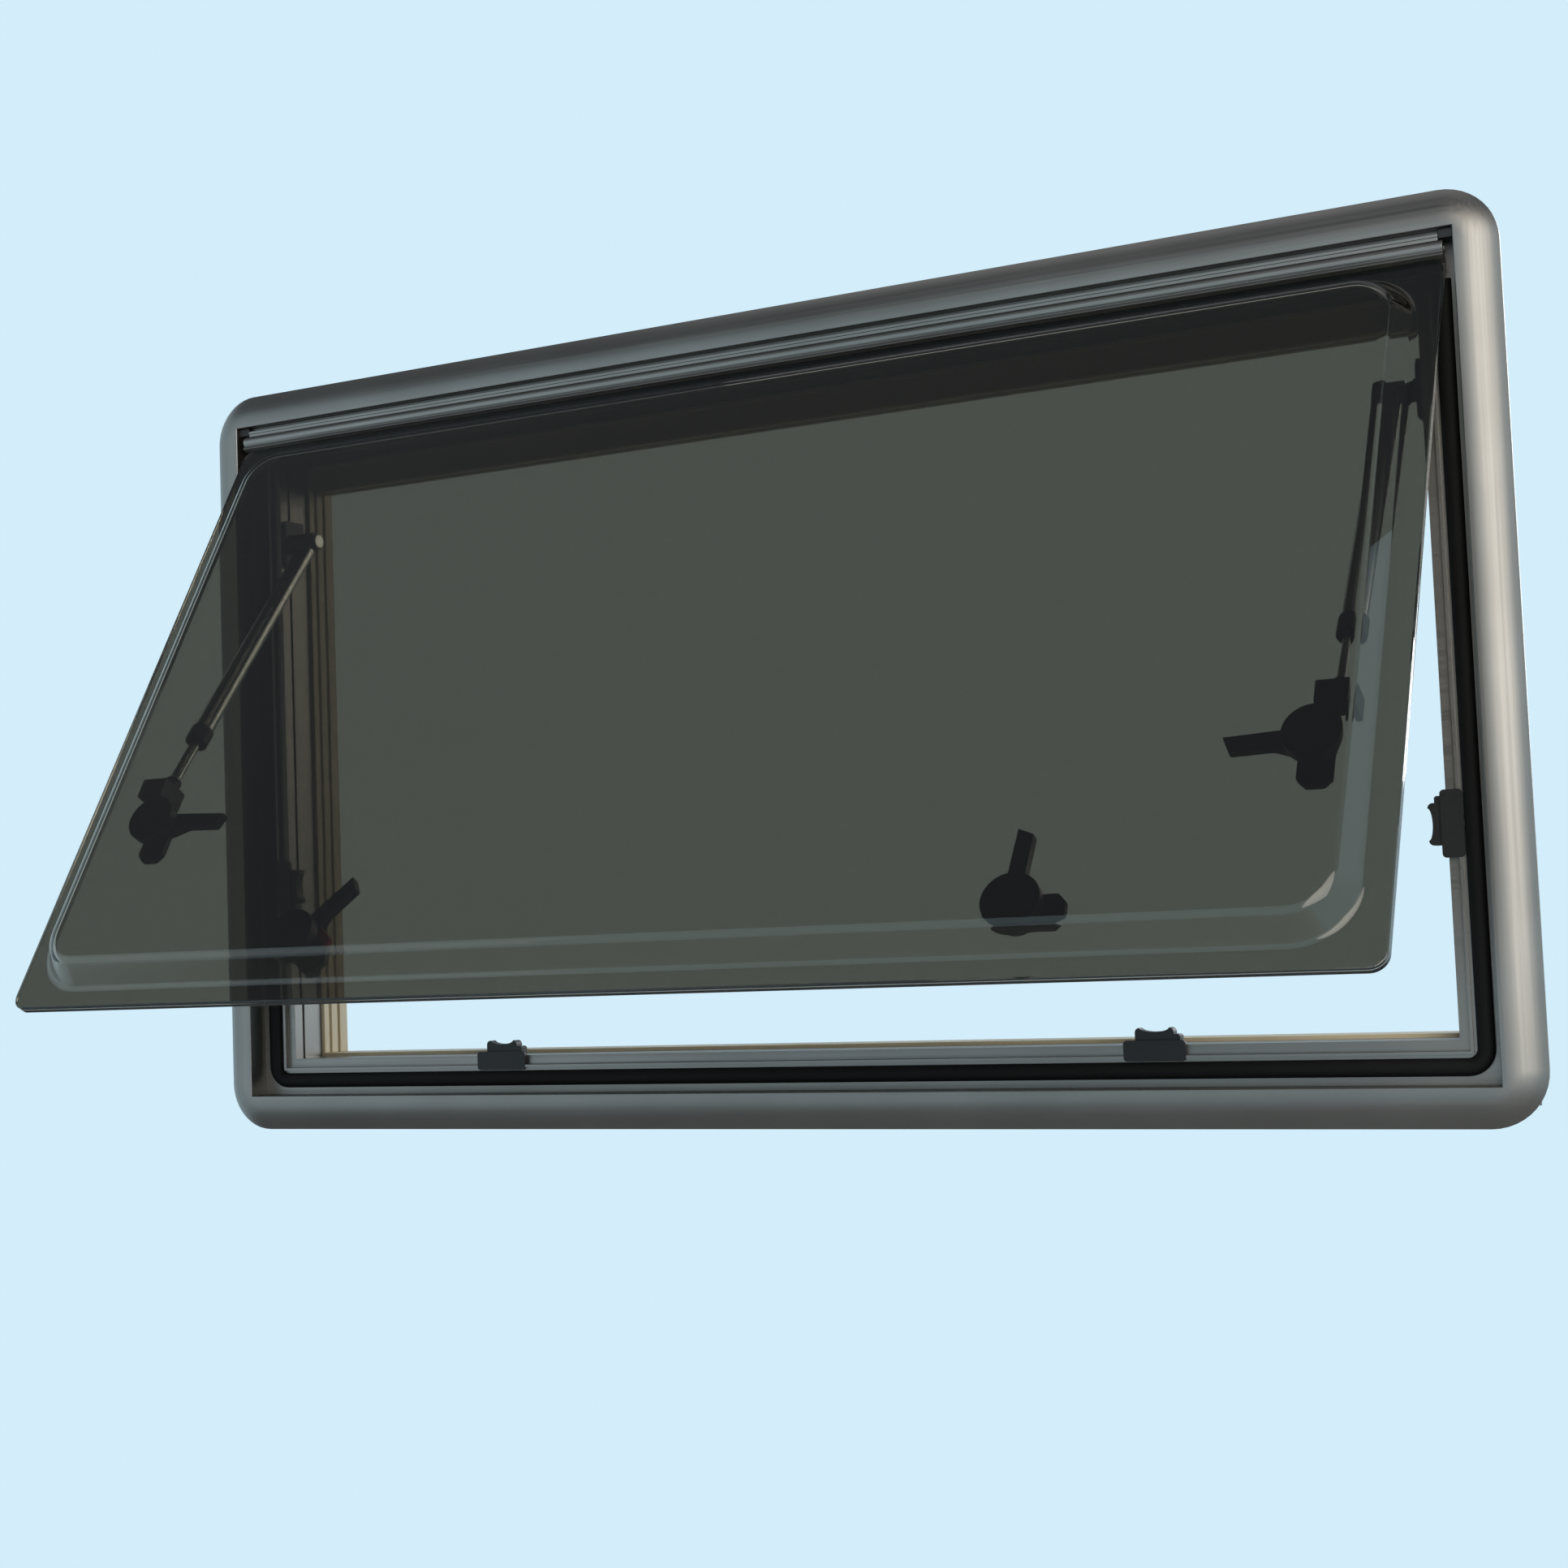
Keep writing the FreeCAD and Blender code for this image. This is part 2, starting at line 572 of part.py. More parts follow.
def make_latch_lever(name, x, z, turn, hand):
    # Lever, hub and cam in one moulding, drawn upright on the pin and then turned.
    body = new_body(f"latch_lever_{name}")
    length = size("lever_length")
    hub_back = hub_y + size("hub_height")
    hub = front_sketch(body, "hub", hub_y)
    draw_circle(hub, ZERO, ZERO, size("hub_radius"))
    pad(body, hub, size("hub_height"))
    arm = front_sketch(body, "arm", hub_back - size("lever_thick"))
    draw_polygon(arm, [(-size("lever_root") * hand, ZERO), (-size("lever_tip") * hand, length),
                       (size("lever_edge") * hand, length - size("lever_slant")),
                       (size("lever_waist") * hand, size("lever_kink")),
                       (size("lever_heel") * hand, ZERO)])
    pad(body, arm, size("lever_thick"))
    cam = front_sketch(body, "cam", cam_y)
    half = size("cam_half")
    draw_polygon(cam, [(ZERO, -half), ((size("cam_length") - half / 2) * hand, -half),
                       (size("cam_length") * hand, -half / 2), (size("cam_length") * hand, half / 2),
                       ((size("cam_length") - half / 2) * hand, half), (ZERO, half)])
    pad(body, cam, size("cam_thick"))
    bore = front_sketch(body, "bore", hub_y)
    draw_circle(bore, ZERO, ZERO, size("latch_pin_radius") + size("latch_pin_gap"))
    pocket(body, bore, size("hub_height"))
    place_on_sash(body)
    turned = FreeCAD.Placement(vector(x.number, 0, z.number),
                               FreeCAD.Rotation(vector(0, 1, 0), turn))
    body.Placement = body.Placement.multiply(turned)
    return body


def make_keeper(name, x, z, turn):
    # Catch plate on the frame's step, drawn for the bottom edge and turned to its own edge.
    body = new_body(f"keeper_{name}")
    half, tongue = size("keeper_length") / 2, size("keeper_tongue") / 2
    seat = size("ledge_width") + size("keeper_gap")
    base, tip = size("keeper_base"), size("keeper_tip")
    plate = front_sketch(body, "plate", keeper_front_y)
    draw_rounded_box(plate, -half, half, seat, base, size("keeper_round"))
    pad(body, plate, size("keeper_plate"))
    hook = front_sketch(body, "hook", keeper_front_y)
    clear = size("reveal_inset") + size("keeper_gap")
    dip = tip - size("keeper_hollow")
    draw_polygon(hook, [(-tongue, clear), (tongue, clear), (tongue, tip), (tongue / 2, dip),
                        (-tongue / 2, dip), (-tongue, tip)])
    pad(body, hook, keeper_back_y - keeper_front_y)
    body.Placement = FreeCAD.Placement(vector(x.number, 0, z.number),
                                       FreeCAD.Rotation(vector(0, 1, 0), turn))
    return body


KEEPERS = (
    ("bottom_left", -low_x, sill_z, 0),
    ("bottom_right", low_x, sill_z, 0),
    ("left", -half_width, side_z, 90),
    ("right", half_width, side_z, -90),
)


def stay_angle():
    # Angle of the open stay from straight down, and the distance between its two pivots.
    swing = math.radians(float(sheet.get("open_angle")))
    out = stay_sash_y.number - axis_y.number
    down = axis_z.number - stay_sash_z.number
    y = axis_y.number + out * math.cos(swing) - down * math.sin(swing)
    z = axis_z.number - out * math.sin(swing) - down * math.cos(swing)
    angle = math.degrees(math.atan2(stay_frame_y.number - y, stay_frame_z.number - z))
    return vector(0, y, z), angle


sash_pivot, stay_turn = stay_angle()
frame_pivot = vector(0, stay_frame_y.number, stay_frame_z.number)


def place_stay(body, pivot, side):
    shift = vector(side * stay_x.number, 0, 0)
    turn = FreeCAD.Rotation(vector(-1, 0, 0), stay_turn)
    body.Placement = FreeCAD.Placement(pivot + shift, turn)
    return body


def make_stay_bracket(name, side):
    # Jamb bracket with the boss that carries the stay's rivet.
    body = new_body(f"stay_bracket_{name}")
    wall_x = (half_width - size("reveal_inset")) * side
    face_x = (stay_x + size("eye_half") + size("boss_gap")) * side
    plate = new_sketch(body, "plate", "YZ_Plane", wall_x)
    front = step_y + size("bracket_front")
    half = size("bracket_height") / 2
    draw_rounded_box(plate, front, front + size("bracket_width"), stay_frame_z - half,
                     stay_frame_z + half, size("bracket_round"))
    pad(body, plate, size("bracket_plate"), inward=side > 0)
    boss = new_sketch(body, "boss", "YZ_Plane", wall_x)
    draw_circle(boss, stay_frame_y, stay_frame_z, size("eye_radius"))
    pad(body, boss, (wall_x - face_x) * side, inward=side > 0)
    return body


def make_stay_rivet(name, side):
    # Rivet on which the stay's top eye turns.
    body = new_body(f"stay_rivet_{name}")
    face_x = (stay_x + size("eye_half") + size("boss_gap")) * side
    shank_length = (size("eye_half") + size("boss_gap")) * 2
    shank = new_sketch(body, "shank", "YZ_Plane", face_x)
    draw_circle(shank, stay_frame_y, stay_frame_z, size("rivet_radius"))
    pad(body, shank, shank_length, inward=side > 0)
    head = new_sketch(body, "head", "YZ_Plane", face_x - shank_length * side)
    draw_circle(head, stay_frame_y, stay_frame_z, size("rivet_head"))
    pad(body, head, size("rivet_head_thick"), inward=side > 0)
    return body


def make_stay_eye(name, side):
    # Plastic top end of the barrel, round the rivet.
    body = new_body(f"stay_eye_{name}")
    width = size("eye_half") * 2
    ring = new_sketch(body, "ring", "YZ_Plane")
    draw_circle(ring, ZERO, ZERO, size("eye_radius"))
    pad(body, ring, width, inward=False, both_ways=True)
    plug = new_sketch(body, "plug", "XY_Plane")
    draw_circle(plug, ZERO, ZERO, size("eye_half"))
    pad(body, plug, size("tube_start"), inward=True)
    bore = new_sketch(body, "bore", "YZ_Plane")
    draw_circle(bore, ZERO, ZERO, size("rivet_radius") + size("eye_bore_gap"))
    pocket(body, bore, width, both_ways=True)
    return place_stay(body, frame_pivot, side)


def make_stay_tube(label, side, outer, start, end):
    # A length of the barrel, bored for the rod.
    body = new_body(label)
    ring = new_sketch(body, "ring", "XY_Plane", -start)
    draw_circle(ring, ZERO, ZERO, outer)
    draw_circle(ring, ZERO, ZERO, size("tube_radius") - size("tube_wall"))
    pad(body, ring, end - start, inward=True)
    return place_stay(body, frame_pivot, side)


def make_stay_rod(name, side):
    # Steel rod that slides in the barrel.
    body = new_body(f"stay_rod_{name}")
    start = size("ferrule_length")
    rod = new_sketch(body, "rod", "XY_Plane", start)
    draw_circle(rod, ZERO, ZERO, size("rod_radius"))
    pad(body, rod, size("rod_length"), inward=False)
    return place_stay(body, sash_pivot, side)


def make_stay_end(name, side):
    # Plastic ferrule and eye at the sash end of the rod.
    body = new_body(f"stay_end_{name}")
    width = size("eye_half") * 2
    ring = new_sketch(body, "ring", "YZ_Plane")
    draw_circle(ring, ZERO, ZERO, size("rod_eye_radius"))
    pad(body, ring, width, inward=False, both_ways=True)
    ferrule = new_sketch(body, "ferrule", "XY_Plane")
    draw_circle(ferrule, ZERO, ZERO, size("ferrule_radius"))
    pad(body, ferrule, size("ferrule_length"), inward=False)
    bore = new_sketch(body, "bore", "YZ_Plane")
    draw_circle(bore, ZERO, ZERO, size("foot_pin_radius") + size("eye_bore_gap"))
    pocket(body, bore, width, both_ways=True)
    return place_stay(body, sash_pivot, side)


def make_stay_foot(name, side):
    # Clevis bonded to the inner pane, with the pin for the rod's eye.
    body = new_body(f"stay_foot_{name}")
    centre = stay_x * side
    gap = size("eye_half") + size("foot_gap")
    outer = gap + size("foot_ear")
    half = size("foot_half_length")
    plate = front_sketch(body, "plate", pane_back_y)
    draw_box(plate, centre - outer, centre + outer, stay_sash_z - half, stay_sash_z + half)
    pad(body, plate, size("foot_plate"))
    ear_back = stay_sash_y + half
    for tag, start in (("near", -outer), ("far", gap)):
        ear = front_sketch(body, f"ear_{tag}", pane_back_y)
        draw_box(ear, centre + start, centre + start + size("foot_ear"), stay_sash_z - half,
                 stay_sash_z + half)
        pad(body, ear, ear_back - pane_back_y)
    pin = new_sketch(body, "pin", "YZ_Plane", centre)
    draw_circle(pin, stay_sash_y, stay_sash_z, size("foot_pin_radius"))
    pad(body, pin, gap * 2, inward=False, both_ways=True)
    return place_on_sash(body)


pieces = [make_outer_frame(), make_frame_seal(), make_inner_frame(),
          make_guide("cassette_guide_left", -1), make_guide("cassette_guide_right", 1),
          make_cross_box("cassette_head", "head_cover", lintel_z, -1),
          make_cross_box("cassette_sill", "guide_cover", sill_z, 1),
          make_pull_bar("screen_pull_bar", 0), make_pull_bar("blind_pull_bar", 1),
          make_hinge_channel(), make_hinge_plug("hinge_plug_left", -1),
          make_hinge_plug("hinge_plug_right", 1), make_hinge_rail(), make_outer_pane(),
          make_inner_pane()]
for latch_name, latch_x, latch_z, latch_turn, latch_hand in LATCHES:
    pieces.append(make_latch_base(latch_name, latch_x, latch_z))
    pieces.append(make_latch_lever(latch_name, latch_x, latch_z, latch_turn, latch_hand))
for keeper_name, keeper_x, keeper_z, keeper_turn in KEEPERS:
    pieces.append(make_keeper(keeper_name, keeper_x, keeper_z, keeper_turn))
for stay_name, stay_side in (("left", -1), ("right", 1)):
    pieces.append(make_stay_bracket(stay_name, stay_side))
    pieces.append(make_stay_rivet(stay_name, stay_side))
    pieces.append(make_stay_eye(stay_name, stay_side))
    tube_end = size("tube_end")
    pieces.append(make_stay_tube(f"stay_barrel_{stay_name}", stay_side, size("tube_radius"),
                                 size("tube_start"), tube_end))
    pieces.append(make_stay_tube(f"stay_collar_{stay_name}", stay_side, size("collar_radius"),
                                 tube_end, tube_end + size("collar_length")))
    pieces.append(make_stay_rod(stay_name, stay_side))
    pieces.append(make_stay_end(stay_name, stay_side))
    pieces.append(make_stay_foot(stay_name, stay_side))

doc.recompute()
for item in doc.Objects:
    if "Invalid" in item.State or "Error" in item.State:
        raise RuntimeError(f"{item.Label} did not build")
os.makedirs("parts", exist_ok=True)
for piece in pieces:
    shape = piece.Shape
    if shape.isNull() or not shape.isValid() or len(shape.Solids) != 1:
        raise RuntimeError(f"{piece.Label} is not one valid solid")
for piece in pieces:
    piece.Shape.exportStep(f"parts/{piece.Label}.step")
print(len(pieces), "pieces; stay turn", round(stay_turn, 3),
      "pivot distance", round((sash_pivot - frame_pivot).Length, 3))
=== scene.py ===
import bpy
import bmesh
import json
import math
from mathutils import Matrix, Vector


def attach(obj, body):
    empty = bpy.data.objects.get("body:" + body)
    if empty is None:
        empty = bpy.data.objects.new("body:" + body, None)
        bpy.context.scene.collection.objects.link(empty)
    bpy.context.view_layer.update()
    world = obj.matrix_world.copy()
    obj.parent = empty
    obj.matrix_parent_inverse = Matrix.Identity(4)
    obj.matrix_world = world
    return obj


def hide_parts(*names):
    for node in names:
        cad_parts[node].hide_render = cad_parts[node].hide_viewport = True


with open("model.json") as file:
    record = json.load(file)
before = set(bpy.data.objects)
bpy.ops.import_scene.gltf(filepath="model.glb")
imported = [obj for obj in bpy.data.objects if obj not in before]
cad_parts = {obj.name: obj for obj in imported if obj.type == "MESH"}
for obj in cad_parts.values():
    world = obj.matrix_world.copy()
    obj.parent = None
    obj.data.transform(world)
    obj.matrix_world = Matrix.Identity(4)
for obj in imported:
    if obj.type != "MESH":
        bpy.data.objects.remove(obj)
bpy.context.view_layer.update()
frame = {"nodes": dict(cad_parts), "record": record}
mm = 0.001
print("frame loaded,", len(frame["nodes"]), "nodes")


def linear(hexColour):
    # sRGB hex to the linear colour that shaders take
    parts = [int(hexColour[i:i + 2], 16) / 255 for i in (0, 2, 4)]
    lin = [c / 12.92 if c <= 0.04045 else ((c + 0.055) / 1.055) ** 2.4 for c in parts]
    return (*lin, 1.0)


def addNode(tree, kind, inputs=None, **settings):
    node = tree.nodes.new(kind)
    for name, value in settings.items():
        setattr(node, name, value)
    for key, value in (inputs or {}).items():
        if isinstance(value, bpy.types.NodeSocket):
            tree.links.new(value, node.inputs[key])
        else:
            node.inputs[key].default_value = value
    return node


def newMaterial(name, sockets):
    material = bpy.data.materials.new(name)
    material.use_nodes = True
    tree = material.node_tree
    shader = tree.nodes["Principled BSDF"]
    for key, value in sockets.items():
        shader.inputs[key].default_value = value
    place = addNode(tree, "ShaderNodeTexCoord").outputs["Object"]
    return material, tree, shader, place


def perMetre(sizeMm):
    return 1.0 / (sizeMm * mm)


# Satin anodised aluminium, extruded: drawn lines run along each length, soft broad reflections.
# Real die lines are about 0.2 mm apart; they are drawn 1.4 mm apart so that they show.
aluminiumLook = dict(colour="868481", dull="777572", lineMm=1.4, runMm=260, cloudMm=70,
                     lineLow=0.3, lineHigh=0.7, roughLow=0.36, roughHigh=0.47, bump=0.06,
                     bumpMm=0.2, stileX=0.4495)


def makeAluminium(look):
    material, tree, shader, place = newMaterial("satinAnodisedAluminium", {"Metallic": 1.0})
    across, along = perMetre(look["lineMm"]), perMetre(look["runMm"])
    lines = []
    for scale in ((along, across, across), (across, across, along)):
        turned = addNode(tree, "ShaderNodeMapping", {"Vector": place, "Scale": scale})
        noise = addNode(tree, "ShaderNodeTexNoise",
                        {"Vector": turned.outputs["Vector"], "Scale": 1.0, "Detail": 2.0})
        lines.append(noise.outputs["Fac"])
    x = addNode(tree, "ShaderNodeSeparateXYZ", {"Vector": place}).outputs["X"]
    away = addNode(tree, "ShaderNodeMath", {0: x}, operation="ABSOLUTE").outputs[0]
    onStile = addNode(tree, "ShaderNodeMath", {0: away, 1: look["stileX"]},
                      operation="GREATER_THAN").outputs[0]
    line = addNode(tree, "ShaderNodeMix", {0: onStile, 2: lines[0], 3: lines[1]}).outputs[0]
    cloud = addNode(tree, "ShaderNodeTexNoise",
                    {"Vector": place, "Scale": perMetre(look["cloudMm"]), "Detail": 3.0})
    mix = addNode(tree, "ShaderNodeMix", {0: cloud.outputs["Fac"], 6: linear(look["dull"]),
                                          7: linear(look["colour"])}, data_type="RGBA")
    tree.links.new(mix.outputs[2], shader.inputs["Base Color"])
    rough = addNode(tree, "ShaderNodeMapRange", {"Value": line, "From Min": look["lineLow"],
                                                "From Max": look["lineHigh"],
                                                "To Min": look["roughLow"],
                                                "To Max": look["roughHigh"]})
    tree.links.new(rough.outputs["Result"], shader.inputs["Roughness"])
    bump = addNode(tree, "ShaderNodeBump", {"Height": line, "Strength": look["bump"],
                                            "Distance": look["bumpMm"] * mm})
    tree.links.new(bump.outputs["Normal"], shader.inputs["Normal"])
    return material


# Smoked cast acrylic: clear, grey with a hint of green, very smooth, faint polishing haze.
acrylicLook = dict(colour="9A968C", ior=1.49, hazeMm=60, hazeLow=0.35, hazeHigh=0.75,
                   roughLow=0.0, roughHigh=0.03, shade="A7A49C")


def makeAcrylic(look):
    material, tree, shader, place = newMaterial(
        "smokedAcrylic", {"Base Color": linear(look["colour"]), "IOR": look["ior"],
                          "Transmission Weight": 1.0})
    haze = addNode(tree, "ShaderNodeTexNoise", {"Vector": place, "Scale": perMetre(look["hazeMm"]),
                                                "Detail": 4.0})
    rough = addNode(tree, "ShaderNodeMapRange", {"Value": haze.outputs["Fac"],
                                                "From Min": look["hazeLow"],
                                                "From Max": look["hazeHigh"],
                                                "To Min": look["roughLow"],
                                                "To Max": look["roughHigh"]})
    tree.links.new(rough.outputs["Result"], shader.inputs["Roughness"])
    # lamps shine through the sheet, weakened, onto what lies behind it
    through = addNode(tree, "ShaderNodeBsdfTransparent", {"Color": linear(look["shade"])})
    shadow = addNode(tree, "ShaderNodeLightPath").outputs["Is Shadow Ray"]
    both = addNode(tree, "ShaderNodeMixShader", {0: shadow, 1: shader.outputs[0],
                                                 2: through.outputs[0]})
    tree.links.new(both.outputs[0], tree.nodes["Material Output"].inputs["Surface"])
    return material


# Each moulded or rubbed surface: colours, roughness and the grain that the mould left.
# Spark-eroded grain is about 0.2 mm; it is drawn at 0.8 mm or coarser so that it shows.
mouldedLooks = dict(
    blackNylon=dict(colour="131517", dull="0D0E10", rough=(0.42, 0.55), grainMm=0.8, bump=0.10,
                    gloss=0.40),
    epdmRubber=dict(colour="0E0F10", dull="090A0A", rough=(0.60, 0.75), grainMm=1.1, bump=0.14,
                    gloss=0.18),
    creamPvc=dict(colour="D2C9AE", dull="C6BC9F", rough=(0.38, 0.48), grainMm=1.6, bump=0.05,
                  gloss=0.50),
    redAbs=dict(colour="D8392B", dull="BC2D22", rough=(0.30, 0.40), grainMm=0.8, bump=0.05,
                gloss=0.50))
mouldedCloudMm, mouldedBumpMm = 45, 0.3


def makeMoulded(name, look):
    material, tree, shader, place = newMaterial(name, {"Specular IOR Level": look["gloss"]})
    grain = addNode(tree, "ShaderNodeTexNoise", {"Vector": place, "Scale": perMetre(look["grainMm"]),
                                                 "Detail": 2.0})
    cloud = addNode(tree, "ShaderNodeTexNoise", {"Vector": place, "Scale": perMetre(mouldedCloudMm),
                                                 "Detail": 3.0})
    mix = addNode(tree, "ShaderNodeMix", {0: cloud.outputs["Fac"], 6: linear(look["dull"]),
                                          7: linear(look["colour"])}, data_type="RGBA")
    tree.links.new(mix.outputs[2], shader.inputs["Base Color"])
    rough = addNode(tree, "ShaderNodeMapRange", {"Value": grain.outputs["Fac"],
                                                "To Min": look["rough"][0],
                                                "To Max": look["rough"][1]})
    tree.links.new(rough.outputs["Result"], shader.inputs["Roughness"])
    bump = addNode(tree, "ShaderNodeBump", {"Height": grain.outputs["Fac"],
                                            "Strength": look["bump"], "Distance": mouldedBumpMm * mm})
    tree.links.new(bump.outputs["Normal"], shader.inputs["Normal"])
    return material


# Bright drawn steel tube: clean highlights with hair lines along the stay.
steelLook = dict(colour="BDBEBD", dull="ABACAB", lineMm=1.0, rough=(0.18, 0.30))


def makeSteel(look):
    material, tree, shader, place = newMaterial("drawnSteel", {"Metallic": 1.0})
    lines = addNode(tree, "ShaderNodeTexNoise", {"Vector": place, "Scale": perMetre(look["lineMm"]),
                                                 "Detail": 1.0})
    mix = addNode(tree, "ShaderNodeMix", {0: lines.outputs["Fac"], 6: linear(look["dull"]),
                                          7: linear(look["colour"])}, data_type="RGBA")
    tree.links.new(mix.outputs[2], shader.inputs["Base Color"])
    rough = addNode(tree, "ShaderNodeMapRange", {"Value": lines.outputs["Fac"],
                                                "To Min": look["rough"][0],
                                                "To Max": look["rough"][1]})
    tree.links.new(rough.outputs["Result"], shader.inputs["Roughness"])
    return material


aluminium = makeAluminium(aluminiumLook)
acrylic = makeAcrylic(acrylicLook)
blackNylon, epdmRubber, creamPvc, redAbs = [makeMoulded(n, k) for n, k in mouldedLooks.items()]
steel = makeSteel(steelLook)
print("materials made")

# How every piece is finished: which angles count as edges, and what is welded or flattened.
finish = dict(smoothDeg=38, bevelDeg=35, flatDeg=0.4, weld=2e-6, steps=2)


def newPiece(name, work, material, body):
    mesh = bpy.data.meshes.new(name)
    work.to_mesh(mesh)
    work.free()
    mesh.polygons.foreach_set("use_smooth", [True] * len(mesh.polygons))
    mesh.set_sharp_from_angle(angle=math.radians(finish["smoothDeg"]))
    mesh.materials.append(material)
    piece = bpy.data.objects.new(name, mesh)
    bpy.context.scene.collection.objects.link(piece)
    even = piece.modifiers.new("flatFacesStayFlat", "WEIGHTED_NORMAL")
    even.keep_sharp, even.weight = True, 100
    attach(piece, body)
    return piece


# Worked edges: every solid keeps its shape and gets the small edge radius of its process.
edgeRadius = dict(extruded=0.35, moulded=0.6, turned=0.3, sawn=0.25)
softNodes = [
    ("extruded", aluminium, "anodised_aluminium",
     ["outer_frame", "inner_frame", "hinge_channel", "hinge_rail"]),
    ("extruded", creamPvc, "cream_plastic",
     ["cassette_guide_left", "cassette_guide_right", "cassette_head", "cassette_sill",
      "screen_pull_bar", "blind_pull_bar"]),
    ("moulded", blackNylon, "black_plastic",
     ["hinge_plug_left", "hinge_plug_right"]
     + [f"{kind}_{n}" for kind in ("latch_base", "latch_lever")
        for n in ("bottom_left", "bottom_right", "left", "right")]
     + [f"stay_{kind}_{n}" for kind in ("bracket", "eye", "collar", "end", "foot")
        for n in ("left", "right")]),
    ("turned", steel, "bright_steel",
     [f"stay_{kind}_{n}" for kind in ("rivet", "barrel", "rod") for n in ("left", "right")]),
    ("sawn", acrylic, "smoked_acrylic", ["inner_pane"]),
]
bodyOf = {n: body for body, names in frame["record"]["behaviour"]["bodies"].items() for n in names}


def bevelSharp(work, radiusMm):
    bmesh.ops.remove_doubles(work, verts=work.verts, dist=finish["weld"])
    bmesh.ops.dissolve_limit(work, angle_limit=math.radians(finish["flatDeg"]),
                             verts=work.verts, edges=work.edges)
    least = math.radians(finish["bevelDeg"])
    sharp = [e for e in work.edges
             if len(e.link_faces) == 2 and e.calc_face_angle(0.0) > least]
    bmesh.ops.bevel(work, geom=sharp, offset=radiusMm * mm, segments=finish["steps"],
                    profile=0.5, affect="EDGES", clamp_overlap=True)


def softenNode(name, radiusMm, material):
    work = bmesh.new()
    work.from_mesh(frame["nodes"][name].data)
    bevelSharp(work, radiusMm)
    piece = newPiece(name + "Finished", work, material, bodyOf[name])
    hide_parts(name)


for process, material, slot, names in softNodes:
    for name in names:
        softenNode(name, edgeRadius[process], material)
print("solids finished")

# Sash: hinge line and the angle that the stays hold it at in the photograph.
sash = dict(axisY=-7.5, axisZ=501.5, openDeg=31.3, halfWidth=444, bottom=17.7, top=496.5)
hinge = Vector((0, sash["axisY"] * mm, sash["axisZ"] * mm))
swing = (Matrix.Translation(hinge) @ Matrix.Rotation(math.radians(-sash["openDeg"]), 4, "X")
         @ Matrix.Translation(-hinge))


# Formed outer pane: flat rim, tight foot curve, sloping wall, rounded crest, flat field.
pane = dict(rimFront=-5.0, rimBack=-2.1, thick=3.0, rimRadius=10, side=14, bottom=13, top=12,
            cornerRadius=36, draft=12, height=16, footRound=5.0, crestRound=8.0, edgeRound=0.7,
            innerShift=0.75, innerPlay=0.1, innerFootMore=2, roundSteps=6, cornerSteps=14)


def roundedOutline(inset, bottom, top, radius, y):
    left, right = -sash["halfWidth"] + inset, sash["halfWidth"] - inset
    low, high = sash["bottom"] + bottom, sash["top"] - top
    corners = [(right - radius, low + radius, -90), (right - radius, high - radius, 0),
               (left + radius, high - radius, 90), (left + radius, low + radius, 180)]
    points = []
    for x, z, start in corners:
        for step in range(pane["cornerSteps"] + 1):
            a = math.radians(start + 90 * step / pane["cornerSteps"])
            points.append(Vector((x + radius * math.cos(a), y, z + radius * math.sin(a))) * mm)
    return points


def wallProfile(foot, crest, run, rise, footRound, crestRound):
    # distance in from the foot line and height, with both bends rounded
    lean = math.atan2(rise, run)
    steps = pane["roundSteps"]
    points = []
    reach = footRound * math.tan(lean / 2)
    for i in range(steps + 1):
        a = lean * i / steps
        points.append((foot - reach + footRound * math.sin(a), footRound * (1 - math.cos(a))))
    reach = crestRound * math.tan(lean / 2)
    for i in range(steps + 1):
        a = lean * (1 - i / steps)
        points.append((crest + reach - crestRound * math.sin(a),
                       rise - crestRound * (1 - math.cos(a))))
    return points


def formedPane():
    p = pane
    lift = wallProfile(0, p["draft"], p["draft"], p["height"], p["footRound"], p["crestRound"])
    shift = p["thick"] * p["innerShift"]
    dip = wallProfile(shift, p["draft"] + shift, p["draft"], p["height"] - p["innerPlay"],
                      p["footRound"] + p["innerFootMore"], p["crestRound"] - p["thick"])
    rings = []
    for d, up in reversed(dip):
        rings.append((p["side"] + d, p["bottom"] + d, p["top"] + d, p["cornerRadius"] - d,
                      p["rimBack"] - up))
    rings.append((p["edgeRound"], p["edgeRound"], p["edgeRound"], p["rimRadius"], p["rimBack"]))
    rings.append((0, 0, 0, p["rimRadius"], p["rimBack"] - p["edgeRound"]))
    rings.append((0, 0, 0, p["rimRadius"], p["rimFront"] + p["edgeRound"]))
    rings.append((p["edgeRound"], p["edgeRound"], p["edgeRound"], p["rimRadius"], p["rimFront"]))
    for d, up in lift:
        rings.append((p["side"] + d, p["bottom"] + d, p["top"] + d, p["cornerRadius"] - d,
                      p["rimFront"] - up))
    work = bmesh.new()
    loops = [[work.verts.new(swing @ v) for v in roundedOutline(*ring)] for ring in rings]
    count = len(loops[0])
    for a, b in zip(loops, loops[1:]):
        for i in range(count):
            j = (i + 1) % count
            work.faces.new((a[i], a[j], b[j], b[i]))
    work.faces.new(loops[0])
    work.faces.new(loops[-1])
    bmesh.ops.recalc_face_normals(work, faces=work.faces)
    piece = newPiece("formedOuterPane", work, acrylic, "sash")
    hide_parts("outer_pane")


formedPane()
print("outer pane formed")

# Bulb seal on the ledge: one run up both sides and along the bottom.
seal = dict(outerInset=5, width=10.5, frontY=1.3, backY=6.0, topZ=485.5, halfOpening=450,
            sillZ=12.5, bend=11.0, bendSteps=10, sectionSteps=28, flat=0.35)


